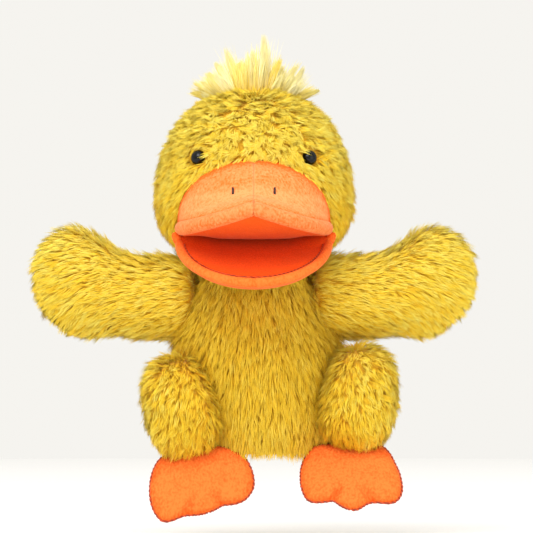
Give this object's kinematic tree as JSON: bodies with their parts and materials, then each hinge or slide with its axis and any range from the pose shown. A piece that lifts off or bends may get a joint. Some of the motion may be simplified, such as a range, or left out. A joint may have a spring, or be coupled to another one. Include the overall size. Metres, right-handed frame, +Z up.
{
  "type": "moving mouth puppet",
  "caption": "Plush duck hand puppet with an opening bill, stuffed head, wings, legs and webbed feet on a sleeve body.",
  "frame": {"origin": "centre of the hand opening, in the plane of the sleeve's hem", "axes": "+Z up from the hem to the head, -Y the way the bill points, +X to the right of someone facing the puppet"},
  "size_m": [0.298, 0.1645, 0.3306],
  "materials": {
    "long_pile_plush": "matte",
    "cream_long_pile": "matte",
    "orange_velboa": "matte",
    "mouth_felt": "matte",
    "eye_black": "gloss",
    "brown_thread": "satin",
    "polyester_fill": "matte",
    "stiff_plastic_board": "satin",
    "yellow_lining_cloth": "matte"
  },
  "bodies": {
    "sleeve": {"body_front_panel": "long_pile_plush", "body_back_panel": "long_pile_plush", "sleeve_lining": "yellow_lining_cloth", "hem_binding": "yellow_lining_cloth"},
    "neck": {"neck_panel": "long_pile_plush"},
    "head": {"head_left_panel": "long_pile_plush", "head_right_panel": "long_pile_plush", "head_back_panel": "long_pile_plush", "head_stuffing": "polyester_fill", "crest_tuft": "cream_long_pile", "eye_left": "eye_black", "eye_right": "eye_black", "eye_washer_left": "stiff_plastic_board", "eye_washer_right": "stiff_plastic_board", "nostril_stitch_left": "brown_thread", "nostril_stitch_right": "brown_thread", "upper_bill_cover_left": "orange_velboa", "upper_bill_cover_right": "orange_velboa", "upper_lip_left": "orange_velboa", "upper_lip_right": "orange_velboa", "upper_bill_wadding": "polyester_fill", "upper_mouth_board": "stiff_plastic_board", "palate_lining": "mouth_felt", "finger_pocket": "yellow_lining_cloth"},
    "lower_jaw": {"lower_bill_cover": "orange_velboa", "lower_lip": "orange_velboa", "lower_bill_wadding": "polyester_fill", "lower_mouth_board": "stiff_plastic_board", "mouth_floor_lining": "mouth_felt", "thumb_pocket": "yellow_lining_cloth"},
    "wing_left": {"wing_left_cover": "long_pile_plush", "wing_left_stuffing": "polyester_fill"},
    "wing_right": {"wing_right_cover": "long_pile_plush", "wing_right_stuffing": "polyester_fill"},
    "leg_left": {"leg_left_cover": "long_pile_plush", "leg_left_stuffing": "polyester_fill"},
    "leg_right": {"leg_right_cover": "long_pile_plush", "leg_right_stuffing": "polyester_fill"},
    "foot_left": {"foot_left_upper": "orange_velboa", "foot_left_sole": "orange_velboa", "foot_left_stuffing": "polyester_fill"},
    "foot_right": {"foot_right_upper": "orange_velboa", "foot_right_sole": "orange_velboa", "foot_right_stuffing": "polyester_fill"}
  },
  "joints": [
    {"name": "neck_turn", "type": "hinge", "parent": "sleeve", "child": "neck", "pos_m": [-0.01, 0.004, 0.112], "axis": [0, 0, 1], "range_deg": [-25, 25]},
    {"name": "head_nod", "type": "hinge", "parent": "neck", "child": "head", "pos_m": [-0.01, 0.004, 0.134], "axis": [1, 0, 0], "range_deg": [-15, 15]},
    {"name": "jaw_open", "type": "hinge", "parent": "head", "child": "lower_jaw", "pos_m": [-0.01, -0.04, 0.1468], "axis": [1, 0, 0], "range_deg": [-30, 15]},
    {"name": "wing_left_flap", "type": "hinge", "parent": "sleeve", "child": "wing_left", "pos_m": [-0.082, 0.003, 0.107], "axis": [0, 1, 0], "range_deg": [-25, 25], "stiffness_Nm_per_rad": 0.25},
    {"name": "wing_right_flap", "type": "hinge", "parent": "sleeve", "child": "wing_right", "pos_m": [0.062, 0.003, 0.107], "axis": [0, -1, 0], "range_deg": [-25, 25], "stiffness_Nm_per_rad": 0.25},
    {"name": "hip_left_swing", "type": "hinge", "parent": "sleeve", "child": "leg_left", "pos_m": [-0.066, -0.02, 0.064], "axis": [-1, 0, 0], "range_deg": [0, 55], "stiffness_Nm_per_rad": 0.05},
    {"name": "hip_right_swing", "type": "hinge", "parent": "sleeve", "child": "leg_right", "pos_m": [0.066, -0.02, 0.071], "axis": [-1, 0, 0], "range_deg": [0, 55], "stiffness_Nm_per_rad": 0.05},
    {"name": "ankle_left_flex", "type": "hinge", "parent": "leg_left", "child": "foot_left", "pos_m": [-0.044, -0.033, -0.01], "axis": [-0.9781, 0, -0.2079], "range_deg": [-20, 35], "stiffness_Nm_per_rad": 0.01},
    {"name": "ankle_right_flex", "type": "hinge", "parent": "leg_right", "child": "foot_right", "pos_m": [0.053, -0.034, -0.006], "axis": [-0.9976, 0, -0.0698], "range_deg": [-20, 35], "stiffness_Nm_per_rad": 0.01}
  ]
}
